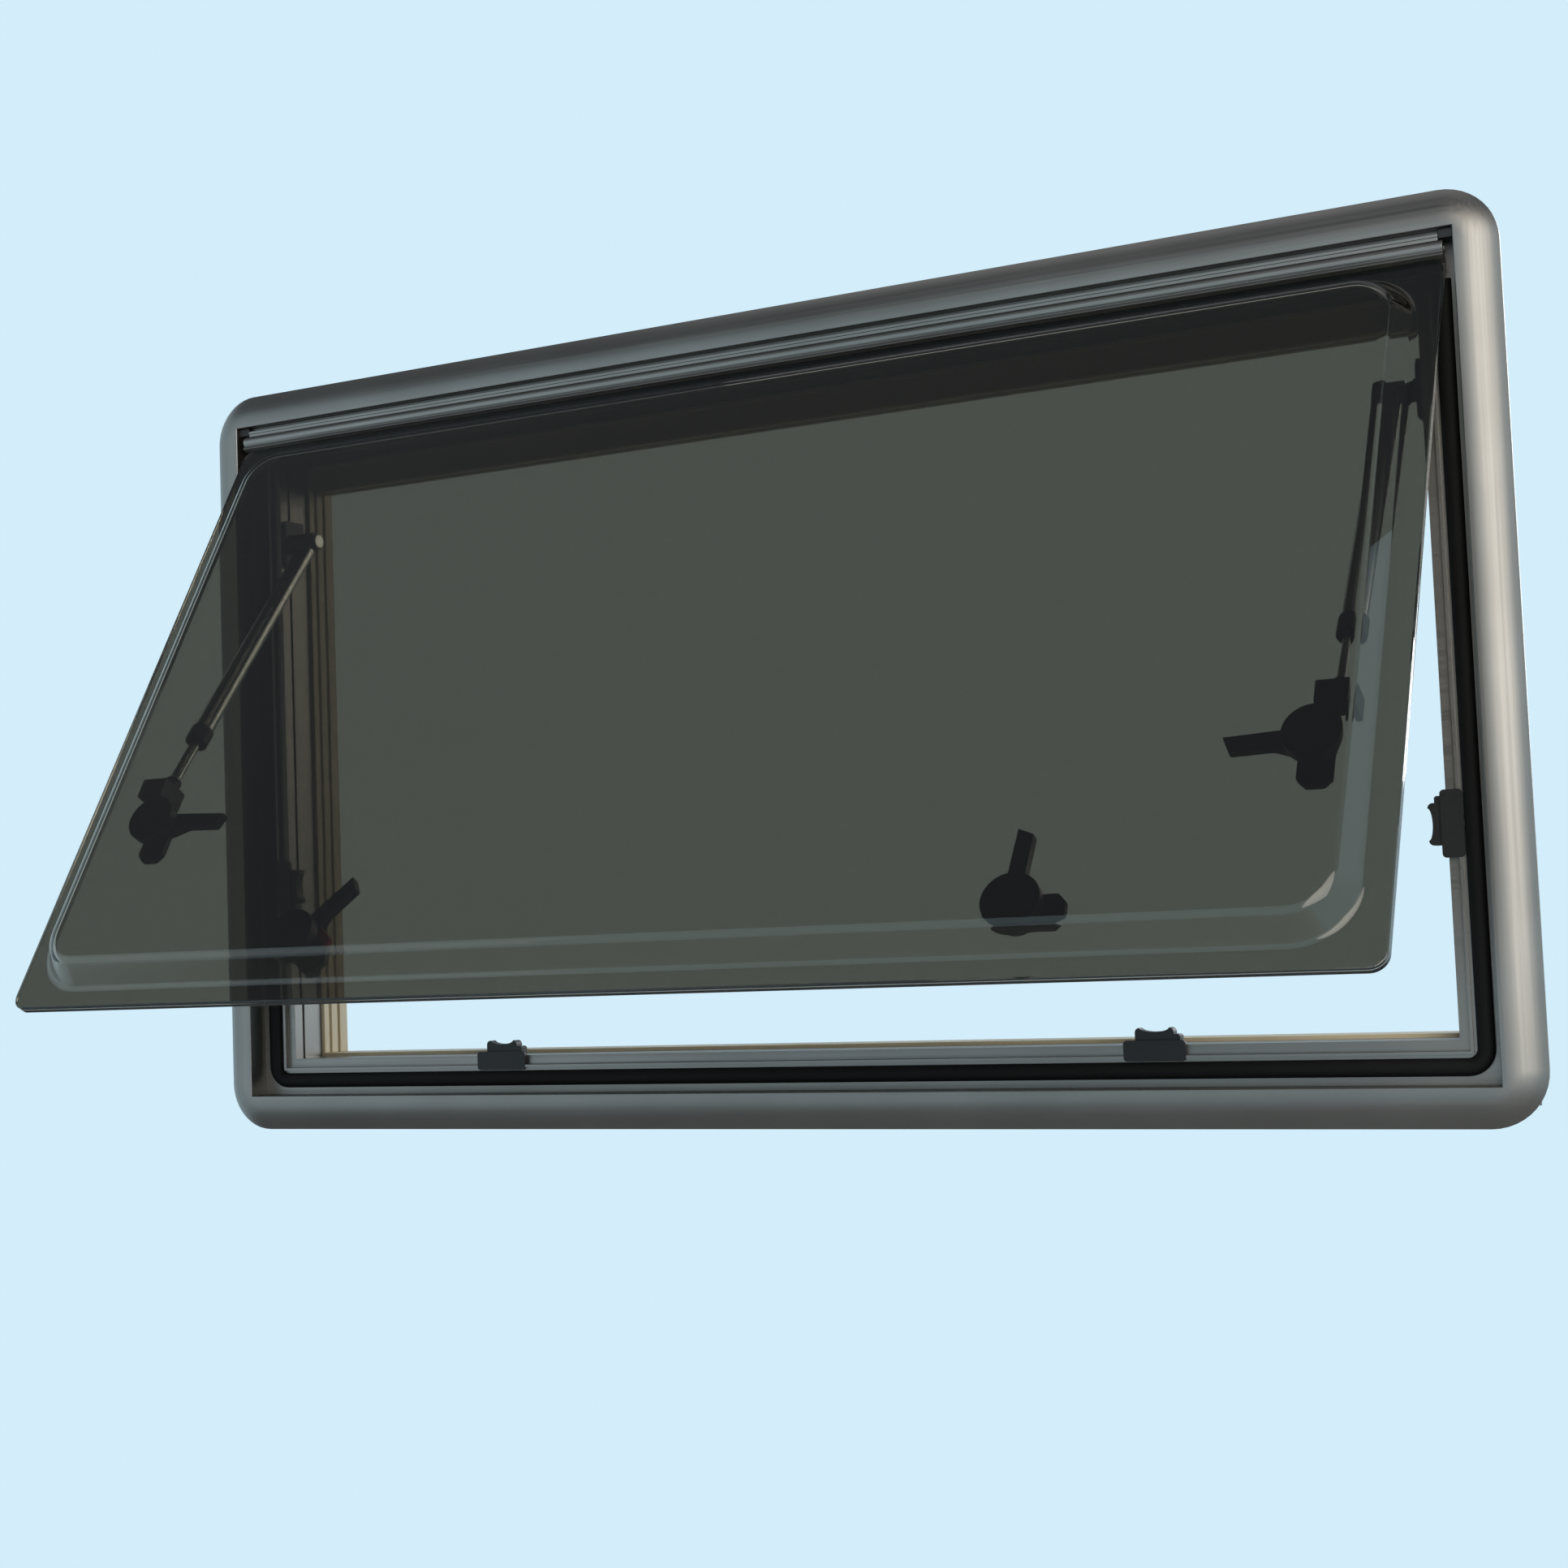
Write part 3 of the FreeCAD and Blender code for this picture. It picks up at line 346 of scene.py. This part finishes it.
def sealTree():
    tree = bpy.data.node_groups.new("bulbSeal", "GeometryNodeTree")
    panel = tree.interface
    panel.new_socket("Geometry", in_out="INPUT", socket_type="NodeSocketGeometry")
    for name in ("Width", "Depth", "Bend", "Flat"):
        panel.new_socket(name, in_out="INPUT", socket_type="NodeSocketFloat")
    panel.new_socket("Material", in_out="INPUT", socket_type="NodeSocketMaterial")
    panel.new_socket("Geometry", in_out="OUTPUT", socket_type="NodeSocketGeometry")
    entry = addNode(tree, "NodeGroupInput").outputs
    bent = addNode(tree, "GeometryNodeFilletCurve", {"Curve": entry["Geometry"],
                                                     "Radius": entry["Bend"],
                                                     "Count": seal["bendSteps"]}, mode="POLY")
    ring = addNode(tree, "GeometryNodeCurvePrimitiveCircle", {"Resolution": seal["sectionSteps"],
                                                              "Radius": 1.0})
    spot = addNode(tree, "ShaderNodeSeparateXYZ",
                   {"Vector": addNode(tree, "GeometryNodeInputPosition").outputs[0]}).outputs
    halfWidth = addNode(tree, "ShaderNodeMath", {0: entry["Width"], 1: 0.5},
                        operation="MULTIPLY").outputs[0]
    wide = addNode(tree, "ShaderNodeMath", {0: spot["X"], 1: halfWidth},
                   operation="MULTIPLY").outputs[0]
    base = addNode(tree, "ShaderNodeMath", {0: entry["Flat"], 1: -1.0},
                   operation="MULTIPLY").outputs[0]
    cut = addNode(tree, "ShaderNodeMath", {0: spot["Y"], 1: base}, operation="MAXIMUM").outputs[0]
    deepScale = addNode(tree, "ShaderNodeMath",
                        {0: entry["Depth"], 1: addNode(tree, "ShaderNodeMath",
                                                       {0: entry["Flat"], 1: 1.0}).outputs[0]},
                        operation="DIVIDE").outputs[0]
    deep = addNode(tree, "ShaderNodeMath", {0: cut, 1: deepScale}, operation="MULTIPLY").outputs[0]
    shaped = addNode(tree, "GeometryNodeSetPosition", {
        "Geometry": ring.outputs["Curve"],
        "Position": addNode(tree, "ShaderNodeCombineXYZ", {"X": wide, "Y": deep}).outputs[0]})
    swept = addNode(tree, "GeometryNodeCurveToMesh", {"Curve": bent.outputs["Curve"],
                                                      "Profile Curve": shaped.outputs["Geometry"],
                                                      "Fill Caps": True})
    real = addNode(tree, "GeometryNodeRealizeInstances", {"Geometry": swept.outputs["Mesh"]})
    dressed = addNode(tree, "GeometryNodeSetMaterial", {"Geometry": real.outputs["Geometry"],
                                                        "Material": entry["Material"]})
    addNode(tree, "NodeGroupOutput", {"Geometry": dressed.outputs["Geometry"]})
    return tree


def bakeTree(source, tree, values, name):
    # runs the tree on the source object and keeps the result as a plain mesh
    modifier = source.modifiers.new("tree", "NODES")
    modifier.node_group = tree
    for item in tree.interface.items_tree:
        if item.in_out == "INPUT" and item.name in values:
            modifier[item.identifier] = values[item.name]
    source.update_tag()
    ready = source.evaluated_get(bpy.context.evaluated_depsgraph_get())
    mesh = bpy.data.meshes.new_from_object(ready)
    source.modifiers.remove(modifier)
    bpy.data.objects.remove(source)
    work = bmesh.new()
    work.from_mesh(mesh)
    bmesh.ops.remove_doubles(work, verts=work.verts, dist=1e-6)
    bmesh.ops.recalc_face_normals(work, faces=work.faces)
    bpy.data.meshes.remove(mesh)
    print(name, "from nodes:", len(work.faces), "faces")
    return work


def polyCurve(name, points):
    curve = bpy.data.curves.new(name, "CURVE")
    curve.dimensions = "3D"
    spline = curve.splines.new("POLY")
    spline.points.add(len(points) - 1)
    for knot, point in zip(spline.points, points):
        knot.co = (*point, 1)
    holder = bpy.data.objects.new(name, curve)
    bpy.context.scene.collection.objects.link(holder)
    return holder


def bulbSeal():
    s = seal
    x = (s["halfOpening"] - s["outerInset"] - s["width"] / 2) * mm
    low = (s["sillZ"] + s["outerInset"] + s["width"] / 2) * mm
    middle = (s["backY"] - (s["backY"] - s["frontY"]) * s["flat"] / (1 + s["flat"])) * mm
    path = [(-x, middle, s["topZ"] * mm), (-x, middle, low), (x, middle, low),
            (x, middle, s["topZ"] * mm)]
    values = {"Width": s["width"] * mm, "Depth": (s["backY"] - s["frontY"]) * mm,
              "Bend": s["bend"] * mm, "Flat": s["flat"], "Material": epdmRubber}
    work = bakeTree(polyCurve("sealPath", path), sealTree(), values, "bulb seal")
    piece = newPiece("bulbSeal", work, epdmRubber, "frame")
    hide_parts("frame_seal")


bulbSeal()

# Keeper: plate lapping the frame's step and a scooped tongue that the latch cam rides behind.
keeper = dict(half=20, seat=19.7, base=29.0, corner=2.5, frontY=6, tabFoot=15.9, tabY=4.4,
              plateBack=8, bodyInset=0.4, bodyLap=0.5, tongueBack=13, tongueHalf=12.5,
              tongueLap=0.2, root=22.5, tip=36.6, horn=3.0, scoop=2.6, shoulder=16.5,
              shoulderTip=32.5, shoulderCut=1, arcSteps=6, edge=0.6)
keeperPlaces = {"keeper_bottom_left": (-240, 12.5, 0), "keeper_bottom_right": (240, 12.5, 0),
                "keeper_left": (-450, 164.5, 90), "keeper_right": (450, 164.5, -90)}


def arcPoints(x, z, radius, start, end, steps):
    turns = [math.radians(start + (end - start) * i / steps) for i in range(steps + 1)]
    return [(x + radius * math.cos(a), z + radius * math.sin(a)) for a in turns]


def addPrism(work, outline, nearY, farY):
    near = [work.verts.new((x * mm, nearY * mm, z * mm)) for x, z in outline]
    far = [work.verts.new((x * mm, farY * mm, z * mm)) for x, z in outline]
    count = len(outline)
    work.faces.new(near)
    work.faces.new(list(reversed(far)))
    for i in range(count):
        j = (i + 1) % count
        work.faces.new((near[j], near[i], far[i], far[j]))


def heldMesh(name, work):
    bmesh.ops.recalc_face_normals(work, faces=work.faces)
    mesh = bpy.data.meshes.new(name)
    work.to_mesh(mesh)
    work.free()
    holder = bpy.data.objects.new(name, mesh)
    bpy.context.scene.collection.objects.link(holder)
    return holder


def joinedSolid(first, second):
    # one skin round both solids
    union = first.modifiers.new("union", "BOOLEAN")
    union.operation, union.object, union.solver = "UNION", second, "EXACT"
    mesh = bpy.data.meshes.new_from_object(
        first.evaluated_get(bpy.context.evaluated_depsgraph_get()))
    for holder in (first, second):
        bpy.data.objects.remove(holder)
    work = bmesh.new()
    work.from_mesh(mesh)
    bpy.data.meshes.remove(mesh)
    return work


def makeKeeper(name, x, z, turnDeg):
    k = keeper
    c, n = k["corner"], k["arcSteps"]
    plate = bmesh.new()
    addPrism(plate, arcPoints(k["half"] - c, k["tabFoot"] + c, c, -90, 0, n)
             + arcPoints(k["half"] - c, k["base"] - c, c, 0, 90, n)
             + arcPoints(c - k["half"], k["base"] - c, c, 90, 180, n)
             + arcPoints(c - k["half"], k["tabFoot"] + c, c, 180, 270, n), k["tabY"], k["frontY"])
    body = bmesh.new()
    w, high = k["half"] - k["bodyInset"], k["base"] - k["bodyInset"]
    addPrism(body, [(-w, k["seat"]), (w, k["seat"]), (w, k["base"] - c), (w - c, high),
                    (c - w, high), (-w, k["base"] - c)],
             k["frontY"] - k["bodyLap"], k["plateBack"])
    h, top, cut = k["horn"], k["tip"], k["shoulderCut"]
    inner = k["tongueHalf"] - h
    scoop = [(inner * math.cos(math.pi * i / (2 * n)),
              top - k["scoop"] * math.sin(math.pi * i / (2 * n))) for i in range(1, 2 * n)]
    tongue = bmesh.new()
    addPrism(tongue, [(-k["tongueHalf"], k["root"]), (k["shoulder"], k["root"]),
                      (k["shoulder"], k["shoulderTip"] - cut),
                      (k["shoulder"] - cut, k["shoulderTip"]), (k["tongueHalf"], k["shoulderTip"])]
             + arcPoints(inner, top - h, h, 0, 90, n) + scoop
             + arcPoints(-inner, top - h, h, 90, 180, n),
             k["frontY"] - k["tongueLap"], k["tongueBack"])
    lower = joinedSolid(heldMesh("plate", plate), heldMesh("body", body))
    work = joinedSolid(heldMesh("lower", lower), heldMesh("tongue", tongue))
    bevelSharp(work, k["edge"])
    work.transform(Matrix.Translation((x * mm, 0, z * mm))
                   @ Matrix.Rotation(math.radians(turnDeg), 4, "Y"))
    piece = newPiece(name + "Finished", work, blackNylon, "frame")
    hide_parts(name)


for name, (x, z, turnDeg) in keeperPlaces.items():
    makeKeeper(name, x, z, turnDeg)
print("keepers made")

# Red release button beside the hub of the half-turned latch.
button = dict(latchX=-240, latchZ=68.5, turnDeg=37,
              outline=[(5.5, 9.5), (19, 9.5), (17.5, 16), (4, 16)], nearY=13.4, farY=17.4, edge=0.8)


def makeButton():
    b = button
    work = bmesh.new()
    addPrism(work, b["outline"], b["nearY"], b["farY"])
    bmesh.ops.recalc_face_normals(work, faces=work.faces)
    bevelSharp(work, b["edge"])
    work.transform(swing @ Matrix.Translation((b["latchX"] * mm, 0, b["latchZ"] * mm))
                   @ Matrix.Rotation(math.radians(b["turnDeg"]), 4, "Y"))
    newPiece("releaseButton", work, redAbs, "lever_bottom_left")


makeButton()

# Clamp screws through the inner frame's flange, spaced along both sides and the bottom.
screws = dict(insetMm=12, flangeY=34.0, halfOpening=450, sillZ=12.5, topZ=500, pitch=118,
              headRadius=1.7, headHeight=1.3, sides=12, rings=6)


def screwTree():
    tree = bpy.data.node_groups.new("clampScrews", "GeometryNodeTree")
    panel = tree.interface
    panel.new_socket("Geometry", in_out="INPUT", socket_type="NodeSocketGeometry")
    for name in ("Pitch", "Head Radius", "Head Height"):
        panel.new_socket(name, in_out="INPUT", socket_type="NodeSocketFloat")
    panel.new_socket("Material", in_out="INPUT", socket_type="NodeSocketMaterial")
    panel.new_socket("Geometry", in_out="OUTPUT", socket_type="NodeSocketGeometry")
    entry = addNode(tree, "NodeGroupInput").outputs
    spots = addNode(tree, "GeometryNodeCurveToPoints", {"Curve": entry["Geometry"],
                                                        "Length": entry["Pitch"]}, mode="LENGTH")
    dome = addNode(tree, "GeometryNodeMeshUVSphere", {"Segments": screws["sides"],
                                                      "Rings": screws["rings"], "Radius": 1.0})
    shape = addNode(tree, "ShaderNodeCombineXYZ", {"X": entry["Head Radius"],
                                                   "Y": entry["Head Height"],
                                                   "Z": entry["Head Radius"]})
    placed = addNode(tree, "GeometryNodeInstanceOnPoints", {"Points": spots.outputs["Points"],
                                                            "Instance": dome.outputs["Mesh"],
                                                            "Scale": shape.outputs[0]})
    real = addNode(tree, "GeometryNodeRealizeInstances", {"Geometry": placed.outputs["Instances"]})
    dressed = addNode(tree, "GeometryNodeSetMaterial", {"Geometry": real.outputs["Geometry"],
                                                        "Material": entry["Material"]})
    addNode(tree, "NodeGroupOutput", {"Geometry": dressed.outputs["Geometry"]})
    return tree


def clampScrews():
    c = screws
    x, low = (c["halfOpening"] + c["insetMm"]) * mm, (c["sillZ"] - c["insetMm"]) * mm
    y, top = c["flangeY"] * mm, c["topZ"] * mm
    values = {"Pitch": c["pitch"] * mm, "Head Radius": c["headRadius"] * mm,
              "Head Height": c["headHeight"] * mm, "Material": steel}
    path = polyCurve("screwPath", [(-x, y, top), (-x, y, low), (x, y, low), (x, y, top)])
    work = bakeTree(path, screwTree(), values, "clamp screws")
    newPiece("clampScrews", work, steel, "frame")


clampScrews()

# Pale blue studio bowl: a floor that takes the shadow, rising all round into the backdrop.
# Past the ring the backdrop shows its plain colour, as behind the window in the photograph.
stage = dict(colour="D3EDFA", floor="ABB2B6", rough=0.9, floorZ=-1.0, flat=2.6, bend=1.9,
             rim=3.0, ring=(2.1, 2.7), bendSteps=16, turns=72)


def makeBowl():
    s = stage
    section = [(s["flat"], s["floorZ"])]
    for i in range(1, s["bendSteps"] + 1):
        a = math.pi / 2 * i / s["bendSteps"]
        section.append((s["flat"] + s["bend"] * math.sin(a),
                        s["floorZ"] + s["bend"] * (1 - math.cos(a))))
    section.append((s["flat"] + s["bend"], s["rim"]))
    work = bmesh.new()
    turns = [math.tau * k / s["turns"] for k in range(s["turns"])]
    rings = [[work.verts.new((radius * math.cos(t), radius * math.sin(t), z)) for t in turns]
             for radius, z in section]
    work.faces.new(rings[0])
    for low, high in zip(rings, rings[1:]):
        for k in range(s["turns"]):
            work.faces.new((low[k], low[k - 1], high[k - 1], high[k]))
    mesh = bpy.data.meshes.new("paleBowl")
    work.to_mesh(mesh)
    work.free()
    mesh.polygons.foreach_set("use_smooth", [True] * len(mesh.polygons))
    material, tree, shader, place = newMaterial(
        "paleBlueBackdrop", {"Base Color": linear(s["floor"]), "Roughness": s["rough"]})
    level = addNode(tree, "ShaderNodeVectorMath", {0: place, 1: (1, 1, 0)}, operation="MULTIPLY")
    away = addNode(tree, "ShaderNodeVectorMath", {0: level.outputs[0]}, operation="LENGTH")
    past = addNode(tree, "ShaderNodeMapRange", {"Value": away.outputs["Value"],
                                               "From Min": s["ring"][0], "From Max": s["ring"][1]},
                   interpolation_type="SMOOTHSTEP")
    ray = addNode(tree, "ShaderNodeLightPath").outputs
    seen = ray["Is Camera Ray"]
    for kind in ("Is Glossy Ray", "Is Transmission Ray"):
        seen = addNode(tree, "ShaderNodeMath", {0: seen, 1: ray[kind]},
                       operation="MAXIMUM").outputs[0]
    share = addNode(tree, "ShaderNodeMath", {0: seen, 1: past.outputs["Result"]},
                    operation="MULTIPLY").outputs[0]
    glow = addNode(tree, "ShaderNodeEmission", {"Color": linear(s["colour"]), "Strength": 1.0})
    mixed = addNode(tree, "ShaderNodeMixShader", {0: share, 1: shader.outputs[0],
                                                  2: glow.outputs[0]})
    tree.links.new(mixed.outputs[0], tree.nodes["Material Output"].inputs["Surface"])
    mesh.materials.append(material)
    bowl = bpy.data.objects.new("paleBowl", mesh)
    bpy.context.scene.collection.objects.link(bowl)


makeBowl()

# Grey room above the bowl, lighter overhead.
room = dict(light="98A1A9", below=0.3, above=0.55, fromZ=0.0, toZ=0.9)
world = bpy.data.worlds.new("studioRoom")
bpy.context.scene.world = world
world.use_nodes = True
tree = world.node_tree
sky = tree.nodes["Background"]
sky.inputs["Color"].default_value = linear(room["light"])
height = addNode(tree, "ShaderNodeSeparateXYZ",
                 {"Vector": addNode(tree, "ShaderNodeTexCoord").outputs["Generated"]}).outputs["Z"]
level = addNode(tree, "ShaderNodeMapRange", {"Value": height, "From Min": room["fromZ"],
                                            "From Max": room["toZ"], "To Min": room["below"],
                                            "To Max": room["above"]})
tree.links.new(level.outputs["Result"], sky.inputs["Strength"])

# Soft boxes: a broad one from the right, weak ones from the left and above,
# and one behind that lights the cassette.
lamps = [dict(name="rightBox", at=(2.0, -2.3, 1.1), aim=(0.2, 0, 0.25), size=2.8, watts=88,
              tint="FFF5E8"),
         dict(name="leftBox", at=(-2.7, -2.4, 0.4), aim=(0, 0, 0.25), size=2.2, watts=5,
              tint="FFFFFF"),
         dict(name="topBox", at=(0.0, 0.9, 2.6), aim=(0, 0.1, 0.2), size=2.4, watts=8,
              tint="FFFFFF"),
         dict(name="backBox", at=(1.3, 2.3, 1.2), aim=(0, 0.05, 0.25), size=1.8, watts=45,
              tint="FFFFFF")]
for lamp in lamps:
    data = bpy.data.lights.new(lamp["name"], "AREA")
    data.size, data.energy = lamp["size"], lamp["watts"]
    data.color = linear(lamp["tint"])[:3]
    box = bpy.data.objects.new(lamp["name"], data)
    bpy.context.scene.collection.objects.link(box)
    box.location = lamp["at"]
    toward = Vector(lamp["aim"]) - Vector(lamp["at"])
    box.rotation_euler = toward.to_track_quat("-Z", "Y").to_euler()

# Camera fitted to the frame's corners in the photograph.
view = dict(at=(0.70197, -1.40406, 0.10781), right=(0.891154, 0.452068, -0.038451),
            up=(0.065164, -0.043662, 0.996919), ahead=(-0.448996, 0.890914, 0.068368),
            lens=54.36, sensor=36.0, near=0.02)
lens = bpy.data.cameras.new("photoCamera")
lens.sensor_width, lens.lens, lens.clip_start = view["sensor"], view["lens"], view["near"]
camera = bpy.data.objects.new("photoCamera", lens)
bpy.context.scene.collection.objects.link(camera)
columns = [view["right"], view["up"], [-c for c in view["ahead"]]]
turn = Matrix([[columns[c][r] for c in range(3)] for r in range(3)]).to_4x4()
camera.matrix_world = Matrix.Translation(view["at"]) @ turn
bpy.context.scene.camera = camera
bpy.context.scene.view_settings.view_transform = "Standard"
print("stage, lamps and camera set")
